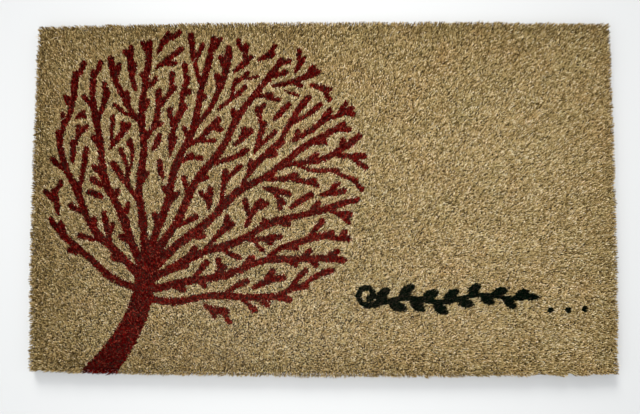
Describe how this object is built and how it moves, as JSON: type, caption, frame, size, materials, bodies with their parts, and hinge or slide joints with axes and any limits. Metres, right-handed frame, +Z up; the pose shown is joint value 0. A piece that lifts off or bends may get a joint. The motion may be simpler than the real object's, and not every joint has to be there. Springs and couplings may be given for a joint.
{
  "type": "door mat",
  "caption": "Rectangular coir door mat on a thin PVC backing, with a branching tree, a leafy sprig and small dots dyed into the pile.",
  "frame": {"origin": "centre of the underside, on the floor", "axes": "+X along the mat's length, towards the side without the tree; +Y along its width, towards the top of the tree; +Z up out of the pile"},
  "size_m": [0.75, 0.45, 0.0155],
  "materials": {
    "pvc_backing": "soft black PVC, faintly mottled",
    "natural_coir": "dense cut coir fibre, golden tan, matt",
    "red_dyed_coir": "coir fibre with dark red dye in the tips, matt",
    "dark_dyed_coir": "coir fibre with green-black dye in the tips, matt"
  },
  "bodies": {
    "root": {"pvc_backing": "pvc_backing", "coir_pile": "natural_coir", "tree_print": "red_dyed_coir", "loose_twig_01": "red_dyed_coir", "loose_twig_02": "red_dyed_coir", "loose_twig_03": "red_dyed_coir", "loose_twig_04": "red_dyed_coir", "loose_twig_05": "red_dyed_coir", "loose_twig_06": "red_dyed_coir", "loose_twig_07": "red_dyed_coir", "loose_twig_08": "red_dyed_coir", "loose_twig_09": "red_dyed_coir", "loose_twig_10": "red_dyed_coir", "loose_twig_11": "red_dyed_coir", "loose_twig_12": "red_dyed_coir", "loose_twig_13": "red_dyed_coir", "loose_twig_14": "red_dyed_coir", "loose_twig_15": "red_dyed_coir", "loose_twig_16": "red_dyed_coir", "loose_twig_17": "red_dyed_coir", "loose_twig_18": "red_dyed_coir", "loose_twig_19": "red_dyed_coir", "loose_twig_20": "red_dyed_coir", "loose_twig_21": "red_dyed_coir", "loose_twig_22": "red_dyed_coir", "loose_twig_23": "red_dyed_coir", "loose_twig_24": "red_dyed_coir", "loose_twig_25": "red_dyed_coir", "loose_twig_26": "red_dyed_coir", "loose_twig_27": "red_dyed_coir", "loose_twig_28": "red_dyed_coir", "loose_twig_29": "red_dyed_coir", "sprig_print": "dark_dyed_coir", "dot_print_1": "dark_dyed_coir", "dot_print_2": "dark_dyed_coir", "dot_print_3": "dark_dyed_coir"}
  },
  "joints": []
}
